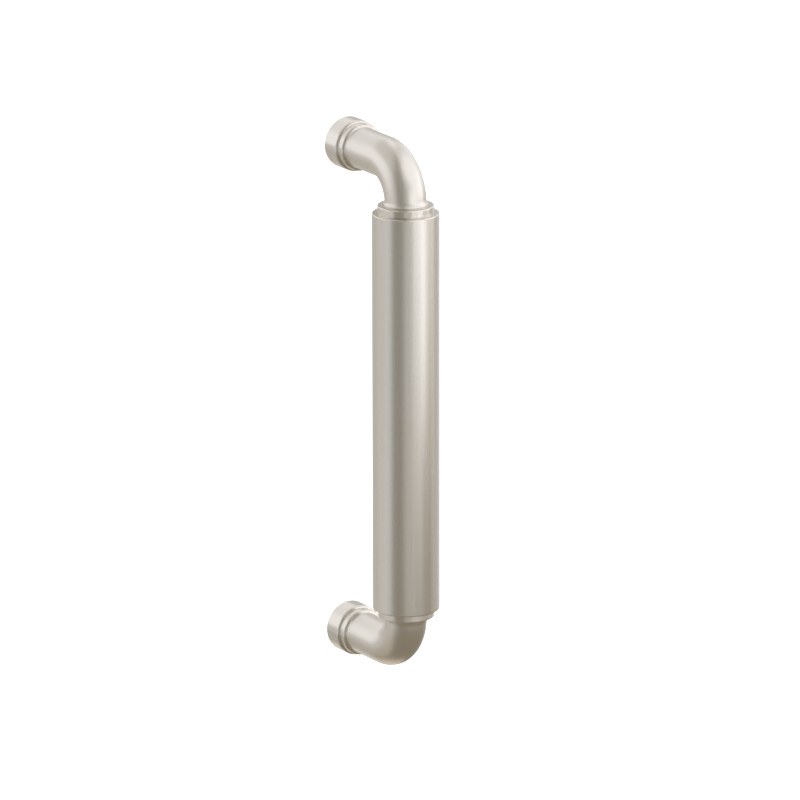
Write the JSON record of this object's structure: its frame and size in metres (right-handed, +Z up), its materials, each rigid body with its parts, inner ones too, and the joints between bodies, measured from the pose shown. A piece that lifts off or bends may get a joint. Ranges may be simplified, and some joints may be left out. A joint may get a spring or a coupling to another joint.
{
  "type": "door pull handle",
  "caption": "Bolt-through door pull: straight tube grip between two cast quarter-bend elbows on turned stepped feet, satin nickel finish.",
  "frame": {"origin": "midway between the two fixing centres, on the plane of the door face", "axes": "+Z up along the grip, through both fixing centres; +Y into the door, so the handle stands out towards -Y; X across"},
  "size_m": [0.027, 0.0585, 0.2242],
  "materials": {
    "satin_nickel_grip": "satin nickel plate, brushed along the grip",
    "satin_nickel_turned": "satin nickel plate, brushed round the axis",
    "satin_nickel_cast": "satin nickel plate on polished casting",
    "zinc_steel": "zinc plated"
  },
  "bodies": {
    "root": {"grip_tube": "satin_nickel_grip", "upper_end_cap": "satin_nickel_turned", "lower_end_cap": "satin_nickel_turned", "upper_joint_stud": "zinc_steel", "lower_joint_stud": "zinc_steel", "upper_elbow": "satin_nickel_cast", "lower_elbow": "satin_nickel_cast", "upper_foot": "satin_nickel_turned", "lower_foot": "satin_nickel_turned"}
  },
  "joints": []
}
